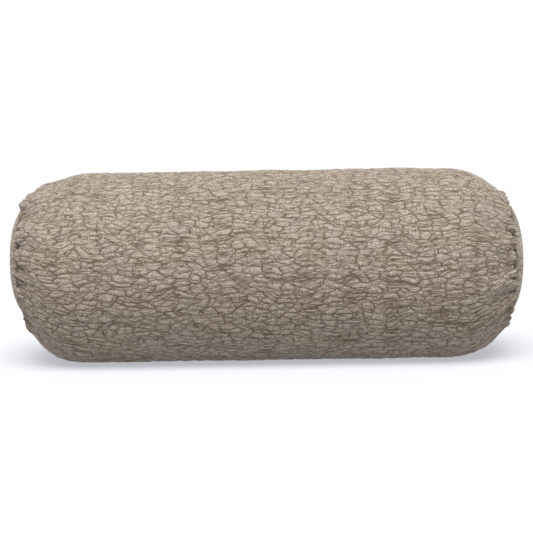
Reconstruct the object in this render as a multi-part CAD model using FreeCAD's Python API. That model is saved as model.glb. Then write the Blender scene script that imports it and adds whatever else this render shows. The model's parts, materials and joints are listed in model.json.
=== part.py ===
"""Bolster pillow: a gathered fabric cover with a concealed zip, round a stuffed inner pillow.

The pillow lies along X and rests on the plane Z = 0, with its origin under its middle.
The front is -Y. The long seam and its zip run along the back, a little above half height.
Everything is built round the pillow's own axis and lifted to its height at the end.
Along the seam, shapes are drawn with the seam at +Y: x runs along it, y is the distance from
the pillow's axis and z runs across it. They are then turned up to the seam's real place.
Sizes are in millimetres.
"""
import FreeCAD
import Part
import math
import os

Vector = FreeCAD.Vector

# Overall form
overall_length = 610.0          # from the middle of one end panel to the other
tube_radius = 116.0             # of the full part of the cover
shoulder_length = 80.0          # along X, where the cover draws in to the end seam
end_seam_radius = 72.0          # of the round opening that each end panel closes
end_crown = 18.0                # how far an end panel swells past its seam
rest_sink = 7.0                 # how much of the radius is pressed flat by the pillow's weight

# Cover
cover_cloth = 1.6               # thickness of the outer fabric
end_allowance = 12.0            # turned-in cloth behind each end seam
long_allowance = 12.0           # turned-in cloth each side of the long seam
ply_gap = 0.2                   # between the two plies of an end seam

# Threads
seam_thread = 0.35              # radius of a seam's thread line
gather_rows = (4.0, 8.0)        # distances of the gathering threads behind the end seam
seam_row = 2.0                  # distance of the end seam's thread behind the seam
thread_gap = 0.1                # between a thread and the cloth that it lies on
overlock_thickness = 0.5        # of the thread wrapped round the raw edges
overlock_reach = 3.0            # how far it wraps over them
overlock_base = 1.1             # its thickness past the raw edges

# Zip
seam_rise_deg = 15.0            # the long seam lies this far above half height, at the back
zip_end_gap = 9.0               # between each end of the chain and the start of the shoulder
slot_width = 2.0                # between the two folded edges of the cover
slot_margin = 4.0               # of the slot past each end of the chain
tape_thickness = 0.6
tape_width = 14.0               # from the chain's middle to the tape's outer edge
tape_split = 0.7                # half the gap between the two tapes
tape_margin = 6.0               # of tape past each end of the chain
layer_gap = 0.1                 # between one layer of the zip and the next
tooth_pitch = 1.5
tooth_width = 0.62
tooth_height = 1.45
tooth_tip = 0.9                 # how far a tooth reaches past the chain's middle
spine_inner = 1.2               # the edge of a row's spine, from the chain's middle
spine_outer = 2.8
stop_length = 3.0
stop_height = 1.3
stop_inset = 0.2                # of tape left between a stop and the tape's inner edge
zip_stitch_offset = 9.0         # the tape's sewing line, from the chain's middle

# Slider
slider_length = 9.0
slider_wall = 1.0
slider_clearance = 0.3          # above and below the tapes and the rows
row_clearance = 0.8             # between the rows and the slider's side walls
neck_thickness = 0.8            # of the post that passes between the rows
neck_length = 3.0
neck_lead = 1.0                 # between the last tooth and the post
stop_clearance = 1.5            # between the slider and the stops at both ends of its travel
crown_length = 5.0
crown_width = 2.2
crown_base = 0.4                # height of the crown's underside above the cloth
crown_top = 3.0
crown_round = 1.0
pivot_height = 1.8              # of the pull's hinge above the cloth
pivot_hole_radius = 0.72
pivot_clearance = 0.07
plate_corner = 2.0
bond = 0.2                      # how far a lug reaches into the piece that it is part of

# Pull
pull_thickness = 1.0
pull_length = 22.5              # from the hinge to the tip
pull_tip_radius = 3.5
tab_clearance = 0.9             # between the crown and the near edge of the tab
arm_clearance = 0.2             # between the crown and the arms on each side of it
arm_width = 1.0

# Inner pillow
fit_gap = 0.4                   # between the cover and the inner pillow
casing_cloth = 0.5
fill_gap = 0.3
neck_clearance = 2.1            # between the end seam's inner ply and the inner pillow's neck
step_clearance = 0.9            # between the overlocked edges and the inner pillow's shoulder
channel_clearance = 0.75        # of the hollow that the zip presses into the inner pillow
channel_margin = 3.0            # of that hollow past the outer edge of each tape
casing_split = 5.0              # the inner pillow's end seam, this far in from the cover's
casing_thread = 0.3
closing_length = 220.0          # of the stitched-up opening that the fibre was blown in through
closing_offset = 8.0            # of that stitching from the zip's middle line
thread_tail = 2.0               # between the end of the long seam's thread and the raw edges
thread_lead = 1.0               # between the zip's tapes and the start of that thread
long_seam_lead = 1.0            # between the turned-in edges and the end seam's raw edges

# Worked out from the above
centre_height = tube_radius - rest_sink
seam_x = overall_length / 2 - end_crown
shoulder_x = seam_x - shoulder_length
shoulder_drop = tube_radius - end_seam_radius
shoulder_arc = (shoulder_length ** 2 + shoulder_drop ** 2) / (2 * shoulder_drop)
arc_centre_r = tube_radius - shoulder_arc
dome_arc = (end_seam_radius ** 2 + end_crown ** 2) / (2 * end_crown)
dome_centre_x = overall_length / 2 - dome_arc

body_ply_inner = end_seam_radius - cover_cloth
panel_radius = body_ply_inner - ply_gap
panel_ply_inner = panel_radius - cover_cloth
raw_edge_x = seam_x - end_allowance
overlock_x = raw_edge_x - overlock_base

tape_top = tube_radius - 2 * cover_cloth - layer_gap
tape_under = tape_top - tape_thickness
teeth_top = tape_under - layer_gap
teeth_under = teeth_top - tooth_height
plate_top = teeth_under - slider_clearance
plate_under = plate_top - slider_wall
slider_inner_half = spine_outer + row_clearance

zip_end = shoulder_x - zip_end_gap
slider_x = zip_end - stop_length - stop_clearance - slider_length / 2
teeth_end = slider_x - neck_length / 2 - neck_lead
teeth_start = -zip_end + stop_length + layer_gap
slider_travel = slider_x - slider_length / 2 - stop_clearance - (-zip_end + stop_length)

arm_inner_half = crown_width / 2 + arm_clearance
arm_outer_half = arm_inner_half + arm_width
pull_start = crown_length / 2 + tab_clearance

casing_inset = cover_cloth + fit_gap
lining_inset = casing_inset + casing_cloth
fill_inset = lining_inset + fill_gap
channel_depth = tube_radius - plate_under + channel_clearance
channel_half_width = tape_width + channel_margin
insert_step_x = overlock_x - step_clearance
insert_neck_r = panel_ply_inner - neck_clearance
casing_split_x = seam_x - casing_split

ORIGIN = Vector(0, 0, 0)
ALONG = Vector(1, 0, 0)
OUT = Vector(0, 1, 0)
ACROSS = Vector(0, 0, 1)
FAR = overall_length
PAST = 1.0                      # how far a cutting shape runs past what it cuts


# Basic shapes

def at(x, r):
    """A point of a half section, at x along the axis and r from it."""
    return Vector(x, 0, r)


def line(a, b):
    return Part.LineSegment(a, b).toShape()


def arc_round(centre, radius, a, b):
    """The shorter arc from a to b round a centre, in the half section's plane."""
    middle = (a + b) * 0.5 - centre
    middle.normalize()
    return Part.Arc(a, centre + middle * radius, b).toShape()


def chain_of_lines(points):
    return [line(a, b) for a, b in zip(points, points[1:])]


def revolved(edges):
    """A closed half section turned once round the X axis."""
    wire = Part.Wire(Part.__sortEdges__(edges))
    return Part.Face(wire).revolve(ORIGIN, ALONG, 360)


def both_ends(edges):
    """The edges of the right half and their mirror images in the middle plane."""
    return edges + [edge.mirror(ORIGIN, ALONG) for edge in edges]


def mirrored(shape):
    return shape.mirror(ORIGIN, ALONG)


def block(x0, x1, y0, y1, z0, z1):
    return Part.makeBox(x1 - x0, y1 - y0, z1 - z0, Vector(x0, y0, z0))


def rod(x0, x1, radius, y=0.0, z=0.0):
    """A round bar along X."""
    return Part.makeCylinder(radius, x1 - x0, Vector(x0, y, z), ALONG)


def ring(x, radius, thickness):
    """A thread ring round the pillow's axis."""
    return Part.makeTorus(radius, thickness, Vector(x, 0, 0), ALONG)


def round_tube(x0, x1, outer, inner):
    return rod(x0, x1, outer).cut(rod(x0 - PAST, x1 + PAST, inner))


# The pillow's form

def shoulder_point(inset, radius):
    """Where the shoulder, moved in by the inset, has that radius."""
    reach = math.sqrt((shoulder_arc - inset) ** 2 - (radius - arc_centre_r) ** 2)
    return at(shoulder_x + reach, radius)


def shoulder_point_at(inset, x):
    """The point of the shoulder, moved in by the inset, at that x."""
    rise = math.sqrt((shoulder_arc - inset) ** 2 - (x - shoulder_x) ** 2)
    return at(x, arc_centre_r + rise)


def shoulder_edge(inset, end):
    start = at(shoulder_x, tube_radius - inset)
    return arc_round(at(shoulder_x, arc_centre_r), shoulder_arc - inset, start, end)


def dome_point(inset, radius):
    reach = math.sqrt((dome_arc - inset) ** 2 - radius ** 2)
    return at(dome_centre_x + reach, radius)


def dome_edge(inset, start):
    tip = at(overall_length / 2 - inset, 0)
    return arc_round(at(dome_centre_x, 0), dome_arc - inset, start, tip)


def tube_form(inset):
    """The cover's form without its end panels, moved in by the inset."""
    end = shoulder_point(inset, end_seam_radius)
    right = [line(at(0, tube_radius - inset), at(shoulder_x, tube_radius - inset))]
    right += [shoulder_edge(inset, end), line(end, at(end.x, 0)), line(at(end.x, 0), at(0, 0))]
    return revolved(both_ends(right))


def insert_form(inset):
    """The inner pillow's form: its shoulders step in to a neck that fills the end panels."""
    grown = inset - casing_inset
    step_x = insert_step_x - grown
    neck_r = insert_neck_r - grown
    step = shoulder_point_at(inset, step_x)
    rim = dome_point(inset, neck_r)
    tip = at(overall_length / 2 - inset, 0)
    right = [line(at(0, tube_radius - inset), at(shoulder_x, tube_radius - inset))]
    right += [shoulder_edge(inset, step)]
    right += chain_of_lines([step, at(step_x, neck_r), rim])
    right += [dome_edge(inset, rim), line(tip, at(0, 0))]
    return revolved(both_ends(right))


def above(shape, inset):
    """The part of a shape above the flat underside, which is raised by the inset."""
    keep = block(-FAR, FAR, -FAR, FAR, inset - centre_height, FAR)
    return shape.common(keep)


def turned_to_seam(shape):
    """Turns what is drawn with the seam at +Y up to the seam's real place."""
    turned = shape.copy()
    turned.rotate(ORIGIN, ALONG, seam_rise_deg)
    return turned


def seam_strip(half_length, half_width):
    """The space on the seam's side of the pillow, to those distances from its middle."""
    return block(-half_length, half_length, 0, FAR, -half_width, half_width)


# Cover

def cover_body():
    """One gathered panel, with its edges turned in along the zip and behind the end seams."""
    outer_end = shoulder_point(0, end_seam_radius)
    inner_end = shoulder_point(cover_cloth, end_seam_radius)
    right = [line(at(0, tube_radius), at(shoulder_x, tube_radius))]
    right += [shoulder_edge(0, outer_end)]
    right += chain_of_lines([
        outer_end,
        at(seam_x, body_ply_inner),
        at(raw_edge_x, body_ply_inner),
        at(raw_edge_x, end_seam_radius),
        inner_end,
    ])
    right += [shoulder_edge(cover_cloth, inner_end)]
    right += [line(at(shoulder_x, tube_radius - cover_cloth), at(0, tube_radius - cover_cloth))]
    shell = above(revolved(both_ends(right)), 0)
    floor = above(tube_form(0), 0).cut(block(-FAR, FAR, -FAR, FAR, cover_cloth - centre_height, FAR))
    turned_in = tube_form(cover_cloth / 2).cut(tube_form(2 * cover_cloth))
    turned_in = turned_in.common(seam_strip(overlock_x - long_seam_lead, long_allowance))
    slot = seam_strip(zip_end + slot_margin, slot_width / 2)
    cloth = shell.fuse(floor).fuse(turned_to_seam(turned_in))
    return cloth.cut(turned_to_seam(slot)).removeSplitter()


def cover_end_panel():
    """A round panel, swollen by the filling, with its edge turned in behind the seam."""
    outer_rim = dome_point(0, panel_radius)
    inner_rim = dome_point(cover_cloth, panel_ply_inner)
    outer_tip = at(overall_length / 2, 0)
    inner_tip = at(overall_length / 2 - cover_cloth, 0)
    edges = [dome_edge(0, outer_rim), dome_edge(cover_cloth, inner_rim), line(inner_tip, outer_tip)]
    edges += chain_of_lines([
        outer_rim,
        at(raw_edge_x, panel_radius),
        at(raw_edge_x, panel_ply_inner),
        inner_rim,
    ])
    return revolved(edges)


def gather_thread():
    radius = end_seam_radius + thread_gap + seam_thread
    rows = [ring(seam_x - row, radius, seam_thread) for row in gather_rows]
    return Part.makeCompound(rows)


def end_seam_thread():
    radius = panel_ply_inner - thread_gap - seam_thread
    return ring(seam_x - seam_row, radius, seam_thread)


def overlock_thread():
    """The thread wrapped round both raw edges of an end seam."""
    outer = end_seam_radius + thread_gap
    inner = panel_ply_inner - thread_gap
    base_x = raw_edge_x - thread_gap
    reach_x = raw_edge_x + overlock_reach
    return revolved(chain_of_lines([
        at(overlock_x, outer + overlock_thickness),
        at(reach_x, outer + overlock_thickness),
        at(reach_x, outer),
        at(base_x, outer),
        at(base_x, inner),
        at(reach_x, inner),
        at(reach_x, inner - overlock_thickness),
        at(overlock_x, inner - overlock_thickness),
        at(overlock_x, outer + overlock_thickness),
    ]))


def long_seam_thread():
    """The thread that closes the long seam from the zip to the end seam."""
    depth = 2 * cover_cloth + thread_gap + seam_thread
    start = at(zip_end + tape_margin + thread_lead, tube_radius - depth)
    end = shoulder_point_at(depth, overlock_x - thread_tail)
    path = Part.Wire([line(start, at(shoulder_x, tube_radius - depth)), shoulder_edge(depth, end)])
    section = Part.Wire([Part.makeCircle(seam_thread, start, ALONG)])
    thread = path.makePipeShell([section], True, False)
    thread.rotate(ORIGIN, ALONG, -90)
    return turned_to_seam(thread)


# Zip

def zip_tape(side):
    """One woven tape, bent to the curve of the cover. side is 1 above the zip and -1 below."""
    length = zip_end + tape_margin
    curved = round_tube(-length, length, tape_top, tape_under)
    low, high = sorted((side * tape_split, side * tape_width))
    return turned_to_seam(curved.common(block(-length, length, 0, FAR, low, high)))


def zip_teeth(side):
    """One row of the chain, a spine with teeth that reach between the other row's."""
    count = int((teeth_end - teeth_start) / tooth_pitch) - 1
    first = teeth_start + tooth_pitch * (0.5 if side > 0 else 1.0)
    points = [(teeth_start, spine_inner), (teeth_start, spine_outer)]
    points += [(teeth_end, spine_outer), (teeth_end, spine_inner)]
    for i in reversed(range(count)):
        middle = first + i * tooth_pitch
        high, low = middle + tooth_width / 2, middle - tooth_width / 2
        points += [(high, spine_inner), (high, -tooth_tip), (low, -tooth_tip), (low, spine_inner)]
    points.append(points[0])
    outline = [Vector(x, teeth_under, side * z) for x, z in points]
    face = Part.Face(Part.makePolygon(outline))
    return turned_to_seam(face.extrude(OUT * tooth_height))


def zip_stitching(side):
    """The thread that holds a tape to the cover's turned-in edge."""
    radius = tape_under - thread_gap - seam_thread
    turn = math.asin(zip_stitch_offset / radius)
    line_of_thread = rod(
        -zip_end - tape_margin / 2,
        zip_end + tape_margin / 2,
        seam_thread,
        radius * math.cos(turn),
        side * radius * math.sin(turn),
    )
    return turned_to_seam(line_of_thread)


def zip_top_stops():
    """A small stop on each tape, just past the closed slider."""
    x0 = zip_end - stop_length
    stops = []
    for side in (1, -1):
        low, high = sorted((side * (tape_split + stop_inset), side * spine_outer))
        stops.append(block(x0, zip_end, teeth_top - stop_height, teeth_top, low, high))
    return turned_to_seam(Part.makeCompound(stops))


def zip_bottom_stop():
    """One stop across both tapes, at the end where the slider comes to rest when open."""
    top = teeth_top
    stop = block(-zip_end, -zip_end + stop_length, top - stop_height, top, -spine_outer, spine_outer)
    return turned_to_seam(stop)


def zip_slider():
    """The slider: a plate and two walls round the rows, a post between them, and the crown."""
    x0, x1 = slider_x - slider_length / 2, slider_x + slider_length / 2
    half = slider_inner_half + slider_wall
    plate = block(x0, x1, plate_under, plate_top, -half, half)
    corners = [e for e in plate.Edges if abs(e.tangentAt(e.FirstParameter).y) > 0.99]
    slider = plate.makeFillet(plate_corner, corners)
    wall_top = tape_under - slider_clearance
    for side in (1, -1):
        low, high = sorted((side * slider_inner_half, side * half))
        wall_x = plate_corner - slider_wall / 2
        wall = block(x0 + wall_x, x1 - wall_x, plate_under, wall_top, low, high)
        slider = slider.fuse(wall)
    neck = block(
        slider_x - neck_length / 2,
        slider_x + neck_length / 2,
        plate_top - slider_wall / 2,
        tube_radius + crown_base + bond,
        -neck_thickness / 2,
        neck_thickness / 2,
    )
    crown = block(
        slider_x - crown_length / 2,
        slider_x + crown_length / 2,
        tube_radius + crown_base,
        tube_radius + crown_top,
        -crown_width / 2,
        crown_width / 2,
    )
    top_edges = [
        e for e in crown.Edges
        if e.BoundBox.YMin > tube_radius + crown_top - crown_round / 2
        and abs(e.tangentAt(e.FirstParameter).z) > 0.99
    ]
    crown = crown.makeFillet(crown_round, top_edges)
    pivot = Vector(slider_x, tube_radius + pivot_height, -crown_width)
    hole = Part.makeCylinder(pivot_hole_radius, 2 * crown_width, pivot, ACROSS)
    return turned_to_seam(slider.fuse(neck).fuse(crown).cut(hole))


def zip_pull():
    """The teardrop pull, lying flat over the closed zip, and the pin that it swings on."""
    y = tube_radius + pivot_height
    low = y - pull_thickness / 2
    tip = slider_x - pull_length
    widest = tip + pull_tip_radius
    near = slider_x - pull_start

    def corner(x, z):
        return Vector(x, low, z)

    outline = Part.Wire([
        line(corner(near, arm_outer_half), corner(widest, pull_tip_radius)),
        Part.Arc(
            corner(widest, pull_tip_radius), corner(tip, 0), corner(widest, -pull_tip_radius)
        ).toShape(),
        line(corner(widest, -pull_tip_radius), corner(near, -arm_outer_half)),
        line(corner(near, -arm_outer_half), corner(near, arm_outer_half)),
    ])
    pull = Part.Face(outline).extrude(OUT * pull_thickness)
    for side in (1, -1):
        z0, z1 = sorted((side * arm_inner_half, side * arm_outer_half))
        arm = block(near - bond, slider_x, low, low + pull_thickness, z0, z1)
        eye = Part.makeCylinder(pull_thickness, z1 - z0, Vector(slider_x, y, z0), ACROSS)
        pull = pull.fuse(arm).fuse(eye)
    start = Vector(slider_x, y, -arm_outer_half)
    pin = Part.makeCylinder(pivot_hole_radius - pivot_clearance, 2 * arm_outer_half, start, ACROSS)
    return turned_to_seam(pull.fuse(pin).removeSplitter())


# Inner pillow

def insert_layer(inset):
    """The inner pillow, moved in by the inset, with the hollow that the zip presses into it."""
    grown = inset - casing_inset
    hollow = seam_strip(raw_edge_x, channel_half_width + grown)
    hollow = hollow.cut(tube_form(channel_depth + grown))
    return above(insert_form(inset), inset).cut(turned_to_seam(hollow))


def insert_pieces():
    """The plain casing's tube and its two end discs, and the fibre inside them."""
    casing = insert_layer(casing_inset).cut(insert_layer(lining_inset))
    end_space = block(casing_split_x, FAR, -FAR, FAR, -FAR, FAR)
    right = casing.common(end_space)
    left = casing.common(mirrored(end_space))
    tube = casing.common(block(-casing_split_x, casing_split_x, -FAR, FAR, -FAR, FAR))
    return {
        "insert_casing_body": tube,
        "insert_casing_end_left": left,
        "insert_casing_end_right": right,
        "fibre_fill": insert_layer(fill_inset),
    }


def insert_seam_thread():
    return ring(casing_split_x, insert_neck_r + thread_gap + casing_thread, casing_thread)


def insert_closing_stitch():
    """The line of stitching that closes the opening that the fibre went in through."""
    radius = tube_radius - channel_depth + thread_gap / 2 + casing_thread
    turn = math.asin(closing_offset / radius)
    half = closing_length / 2
    y, z = radius * math.cos(turn), radius * math.sin(turn)
    return turned_to_seam(rod(-half, half, casing_thread, y, z))


def main():
    nodes = {"cover_body": cover_body()}
    right_hand = {
        "cover_end_panel": cover_end_panel(),
        "gather_thread": gather_thread(),
        "end_seam_thread": end_seam_thread(),
        "overlock_thread": overlock_thread(),
        "long_seam_thread": long_seam_thread(),
        "insert_seam_thread": insert_seam_thread(),
    }
    for name, shape in right_hand.items():
        nodes[name + "_right"] = shape
        nodes[name + "_left"] = mirrored(shape)
    for name, side in (("upper", 1), ("lower", -1)):
        nodes["zip_tape_" + name] = zip_tape(side)
        nodes["zip_teeth_" + name] = zip_teeth(side)
        nodes["zip_stitching_" + name] = zip_stitching(side)
    nodes["zip_top_stops"] = zip_top_stops()
    nodes["zip_bottom_stop"] = zip_bottom_stop()
    nodes["zip_slider"] = zip_slider()
    nodes["zip_pull"] = zip_pull()
    nodes.update(insert_pieces())
    nodes["insert_closing_stitch"] = insert_closing_stitch()

    os.makedirs("parts", exist_ok=True)
    for name, shape in nodes.items():
        placed = shape.copy()
        placed.translate(Vector(0, 0, centre_height))
        if not placed.isValid() or not placed.Solids:
            raise ValueError(name + " is not a valid solid")
        placed.exportStep("parts/" + name + ".step")
        volume = sum(solid.Volume for solid in placed.Solids)
        print(name, len(placed.Solids), "solids,", round(volume, 1), "mm3")
    print("slider travel", round(slider_travel, 2))
    print("slider at x", round(slider_x, 2))


main()
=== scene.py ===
# %% [markdown]
# # A bolster pillow
#
# A bolster is a long round cushion. Its cover is one rectangle of cloth rolled into a tube, whose
# two round edges are gathered onto small round end panels. A zip along the back lets the inner
# pillow in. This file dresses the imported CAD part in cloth, thread and metal, piece by piece, in
# the order that a sewer would work.
#
# Everything is in metres, in the part's own frame: X runs along the pillow, -Y is its front and
# Z is up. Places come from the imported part, so nothing is fitted by eye.

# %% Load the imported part
import json
import math

import bpy
import numpy as np
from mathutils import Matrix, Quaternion, Vector


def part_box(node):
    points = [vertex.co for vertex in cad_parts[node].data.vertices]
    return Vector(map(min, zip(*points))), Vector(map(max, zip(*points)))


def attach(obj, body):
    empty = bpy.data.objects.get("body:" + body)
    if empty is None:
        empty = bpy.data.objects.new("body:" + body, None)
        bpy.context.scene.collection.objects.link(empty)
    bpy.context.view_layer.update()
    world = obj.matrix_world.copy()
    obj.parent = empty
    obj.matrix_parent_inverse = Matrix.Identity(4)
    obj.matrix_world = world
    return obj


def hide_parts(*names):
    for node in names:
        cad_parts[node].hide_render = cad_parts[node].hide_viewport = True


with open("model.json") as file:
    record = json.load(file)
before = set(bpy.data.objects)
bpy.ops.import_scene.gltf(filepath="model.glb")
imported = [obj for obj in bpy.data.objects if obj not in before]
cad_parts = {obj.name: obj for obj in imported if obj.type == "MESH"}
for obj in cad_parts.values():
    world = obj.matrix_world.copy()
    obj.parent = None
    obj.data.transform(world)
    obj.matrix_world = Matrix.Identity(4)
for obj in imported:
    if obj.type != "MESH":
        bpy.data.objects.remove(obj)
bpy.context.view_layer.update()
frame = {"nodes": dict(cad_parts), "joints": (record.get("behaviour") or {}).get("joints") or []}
scene = bpy.context.scene

# %% [markdown]
# ## Sizes
#
# The cover's CAD solid ends at its two end seams, so its box gives the tube's radius and the
# seams' places. The end panel's box gives the seam's radius. The zip pull's hinge runs along the
# zip's width, so its axis says how far round the back the long seam lies.

# %% Sizes of the pillow
MM = 0.001
body_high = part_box("cover_body")[1]
panel_low, panel_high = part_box("cover_end_panel_right")
casing_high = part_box("insert_casing_body")[1]
casing_end_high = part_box("insert_casing_end_right")[1]
stops_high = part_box("zip_top_stops")[1]
hinge_axis = [j["axis"] for j in frame["joints"] if j["name"] == "pull_swing"][0]

CLOTH = 1.6 * MM                      # thickness of the cover's fabric
SHOULDER = 80 * MM                    # along X, where the tube draws in to the end seam
R = body_high.y                       # the tube's radius
AXIS_HEIGHT = body_high.z - R
SEAM_X = body_high.x                  # of the end seams
SEAM_R = (panel_high.z - panel_low.z) / 2 + CLOTH + 0.2 * MM
TIP_X = panel_high.x                  # the middle of an end panel
ZIP_END = stops_high.x
SLOT_HALF = ZIP_END + 4 * MM          # of the opening that the zip closes
SEAM_RISE = math.asin(hinge_axis[1])  # the long seam's angle above half height
RAW_EDGE_X = panel_low.x              # where the turned-in cloth at an end stops
SPLIT_X = casing_high.x               # of the inner pillow's own end seams
NECK_R = casing_end_high.y            # of the inner pillow's narrow ends

shoulder_x = SEAM_X - SHOULDER
shoulder_drop = R - SEAM_R
shoulder_arc = (SHOULDER ** 2 + shoulder_drop ** 2) / (2 * shoulder_drop)
shoulder_angle = math.asin(SHOULDER / shoulder_arc)
HALF_CLOTH = shoulder_x + shoulder_arc * shoulder_angle
AROUND = 2 * math.pi * R
print("tube radius", round(R, 4), "end seam radius", round(SEAM_R, 4), "cut panel", round(2 * HALF_CLOTH, 4),
      "by", round(AROUND, 4))


# %% Small helpers for objects and their points
def select_only(piece):
    """Selects one piece and makes it the one that operators act on."""
    bpy.ops.object.select_all(action="DESELECT")
    piece.select_set(True)
    bpy.context.view_layer.objects.active = piece


def points_of(piece):
    """The piece's points, one row each."""
    flat = np.empty(len(piece.data.vertices) * 3, np.float32)
    piece.data.vertices.foreach_get("co", flat)
    return flat.reshape(-1, 3).astype(float)


def move_points(piece, points):
    """Puts the piece's points at these places."""
    piece.data.vertices.foreach_set("co", np.asarray(points, np.float32).ravel())
    piece.data.update()


def apply_modifier(piece, kind, **settings):
    """Adds a modifier with these settings and makes its result the piece's own mesh."""
    modifier = piece.modifiers.new(kind.title(), kind)
    for name, value in settings.items():
        setattr(modifier, name, value)
    select_only(piece)
    bpy.ops.object.modifier_apply(modifier=modifier.name)


def round_the_axis(x, radius, angle):
    """Points at x along the pillow, radius from its axis and an angle from the long seam."""
    turn = angle + SEAM_RISE
    return np.stack([x + 0 * turn, radius * np.cos(turn), radius * np.sin(turn) + AXIS_HEIGHT], -1)


# %% [markdown]
# ## The cover's form
#
# The tube's outline is a straight run that bends in a round shoulder to the end seam. A point of
# the cloth is known by how far along the cut panel it lies and how far round, so one function
# turns a distance along the cloth into a place on that outline.

# %% The outline of the stuffed cover
def outline(along):
    """The x and radius of the stuffed cover at a distance along the cloth from its middle."""
    beyond = np.maximum(np.abs(along) - shoulder_x, 0)
    angle = beyond / shoulder_arc
    x = np.minimum(np.abs(along), shoulder_x) + shoulder_arc * np.sin(angle)
    radius = R - shoulder_arc + shoulder_arc * np.cos(angle)
    return np.sign(along) * x, radius


print("outline at the end seam", [round(float(v), 4) for v in outline(np.array(HALF_CLOTH))])

# %% [markdown]
# ## Sewing and stuffing the cover
#
# The real panel is as wide as the tube is round, and its ends are drawn up on two rows of thread
# until they fit the small end panels. Those gathers are what make the end of a bolster look soft,
# and they are hard to draw by hand: each pucker runs into its neighbours. So the cloth is sewn
# here as it is in the workshop. The end of a tube of cut cloth starts at full width, its edge is
# drawn in over the first frames, and pressure stands for the stuffing. Blender's Cloth then finds
# the puckers by itself. Only one end is sewn. The other uses the same puckers, mirrored and turned
# part of the way round, which halves the wait, and the two ends still never look alike.

# %% The rings of points at one end
GATHER_REACH = 100 * MM               # of cloth where the puckers need fine rings
PLAIN_REACH = 125 * MM                # of cloth that is simulated
COLUMNS = 240                         # points round the tube, about 3 mm apart
plain_rings = np.arange(HALF_CLOTH - PLAIN_REACH, HALF_CLOTH - GATHER_REACH, 6 * MM)
rings = np.concatenate([plain_rings, np.linspace(HALF_CLOTH - GATHER_REACH, HALF_CLOTH, 36)])
angles = np.arange(COLUMNS) / COLUMNS * 2 * math.pi
print(len(rings), "rings of", COLUMNS, "points")


# %% A mesh from rows of points
def cloth_mesh(name, grid, closed):
    """A mesh whose points are rows of a grid. A closed one joins each row's last point to its first."""
    rows, columns = grid.shape[:2]
    index = np.arange(rows * columns).reshape(rows, columns)
    ahead = np.roll(index, -1, axis=1)
    wide = columns if closed else columns - 1
    faces = np.stack([index[:-1], ahead[:-1], ahead[1:], index[1:]], -1)[:, :wide]
    mesh = bpy.data.meshes.new(name)
    mesh.from_pydata(grid.reshape(-1, 3).tolist(), [], faces.reshape(-1, 4).tolist())
    piece = bpy.data.objects.new(name, mesh)
    scene.collection.objects.link(piece)
    return piece


# %% Where the gathered edge is sewn
SEAM_DEPTH = 6 * MM                   # the seam is drawn in this far behind the cover's end
random = np.random.default_rng(7)


def scallops(angle):
    """A height from -0.5 to 0.5 round the end seam: uneven round tufts with sharp dips between them."""
    widths = random.uniform(12, 24, 60) * MM
    edges = np.cumsum(widths) / SEAM_R
    edges = edges[edges < 2 * math.pi - 0.12]
    edges = np.concatenate([[0], edges, [2 * math.pi]])
    tuft = np.searchsorted(edges, angle, side="right") - 1
    share = (angle - edges[tuft]) / (edges[tuft + 1] - edges[tuft])
    return np.sin(math.pi * share) ** 0.9 - 0.5


lift = scallops(angles)
sewn_edge = round_the_axis(SEAM_X - SEAM_DEPTH + lift * 3 * MM, SEAM_R + 0.5 * MM + lift * 4 * MM, angles)
print("sewn edge", [round(float(v), 4) for v in (sewn_edge[:, 0].min(), sewn_edge[:, 0].max())], "along X")

# %% Draw in the edge and fill the cover
GATHER_FRAMES = 14                    # in which the edge is drawn in
SETTLE_FRAMES = 30                    # after which the cloth lies still


def sew_and_fill(piece, sewn, held, pressure, bending):
    """Moves the held points to their sewn places while pressure fills the cloth, and keeps the result."""
    piece.shape_key_add(name="cut")
    key = piece.shape_key_add(name="sewn")
    key.data.foreach_set("co", np.asarray(sewn, np.float32).ravel())
    for frame_number, value in ((1, 0), (GATHER_FRAMES, 1)):
        key.value = value
        key.keyframe_insert("value", frame=frame_number)
    group = piece.vertex_groups.new(name="held")
    group.add([int(i) for i in held], 1.0, "REPLACE")
    cloth = piece.modifiers.new("Cloth", "CLOTH")
    settings = cloth.settings
    # A thick, limp cloth: firm along its threads, weak against shear, and slowed by the air.
    settings.quality = 6
    settings.mass = 0.15
    settings.tension_stiffness = 25
    settings.compression_stiffness = 8
    settings.shear_stiffness = 5
    settings.bending_stiffness = bending
    settings.air_damping = 3
    settings.effector_weights.gravity = 0
    settings.use_pressure = True
    settings.uniform_pressure_force = pressure
    settings.vertex_group_mass = "held"
    cloth.collision_settings.use_collision = False
    cloth.point_cache.frame_end = SETTLE_FRAMES
    for frame_number in range(1, SETTLE_FRAMES + 1):
        scene.frame_set(frame_number)
    select_only(piece)
    bpy.ops.object.convert(target="MESH")
    scene.frame_set(1)


ring_x, ring_angle = np.meshgrid(rings, angles, indexing="ij")
cut_end = round_the_axis(ring_x, np.full_like(ring_x, R), ring_angle)
sewn_end = cut_end.copy()
sewn_end[-1] = sewn_edge
tube_end = cloth_mesh("cover_tube_end", cut_end, closed=True)
first, last = np.arange(COLUMNS), np.arange(COLUMNS) + (len(rings) - 1) * COLUMNS
sew_and_fill(tube_end, sewn_end, np.concatenate([first, last]), pressure=5, bending=3)
print("stuffed end", len(tube_end.data.vertices), "points")

# %% [markdown]
# ## From the sewn end to the whole cover
#
# The simulation gives the puckers, but it may swell a little more or less than the pattern says.
# So only each point's own way off its ring is kept, faded away from the seam, where thick cloth
# takes up its fullness in its own crinkle. Those offsets are added to the outline, whose rings
# are spaced evenly, because the crinkled cloth needs the same fine mesh all over. Next to the
# seam the cloth rolls over, so that the seam lies in a crease. Last, the underside is pressed
# flat where the pillow rests.

# %% How far each point of the sewn end is off its ring
PUCKER_LIMIT = 3.5 * MM               # the most that a pucker may stand out
PUCKER_FADE = 24 * MM                 # of cloth, over which the puckers fade from the seam


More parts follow.
